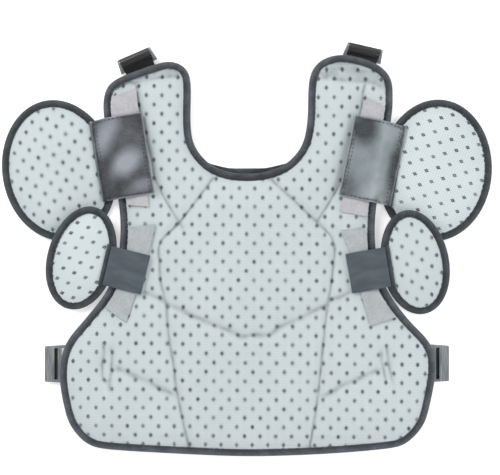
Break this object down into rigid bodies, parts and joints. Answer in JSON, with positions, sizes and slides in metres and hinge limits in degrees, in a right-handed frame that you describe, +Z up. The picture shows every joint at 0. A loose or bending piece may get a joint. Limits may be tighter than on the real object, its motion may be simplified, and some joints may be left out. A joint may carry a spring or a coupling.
{
  "type": "umpire chest protector",
  "caption": "Quilted mesh chest protector lying body side up, with bound edges, oval upper-arm and lower-arm pads on tabs, and ladder-lock buckles for a harness.",
  "frame": {"origin": "centre of the overall box on the ground that the outer face lies on", "axes": "+Z up out of the body side, +Y towards the neck opening, +X towards the pads on the image right (the wearer's right when worn)"},
  "size_m": [0.6178, 0.5176, 0.0409],
  "materials": {
    "mesh_fabric": "light grey spacer mesh with small dark diamond dots",
    "edge_tape": "dark charcoal ribbed grosgrain tape",
    "collar_fabric": "dark woven cover cloth",
    "loop_pile": "light warm grey loop pile",
    "leatherette": "glossy black grained leatherette with stitched edges",
    "grey_webbing": "slate grey woven webbing",
    "black_webbing": "black woven webbing",
    "buckle_plastic": "glossy dark grey moulded plastic"
  },
  "bodies": {
    "root": {"arm_binding_left": "edge_tape", "arm_binding_right": "edge_tape", "arm_pad_left": "mesh_fabric", "arm_pad_right": "mesh_fabric", "arm_tab_left": "leatherette", "arm_tab_right": "leatherette", "collar_pad": "collar_fabric", "hip_buckle_left": "buckle_plastic", "hip_buckle_right": "buckle_plastic", "hip_loop_left": "black_webbing", "hip_loop_right": "black_webbing", "loop_strip_lower_left": "loop_pile", "loop_strip_lower_right": "loop_pile", "loop_strip_upper_left": "loop_pile", "loop_strip_upper_right": "loop_pile", "lower_binding_left": "edge_tape", "lower_binding_right": "edge_tape", "lower_pad_left": "mesh_fabric", "lower_pad_right": "mesh_fabric", "lower_tab_left": "grey_webbing", "lower_tab_right": "grey_webbing", "shoulder_buckle_left": "buckle_plastic", "shoulder_buckle_right": "buckle_plastic", "shoulder_loop_left": "black_webbing", "shoulder_loop_right": "black_webbing", "vest_binding": "edge_tape", "vest_pad": "mesh_fabric"}
  },
  "joints": []
}
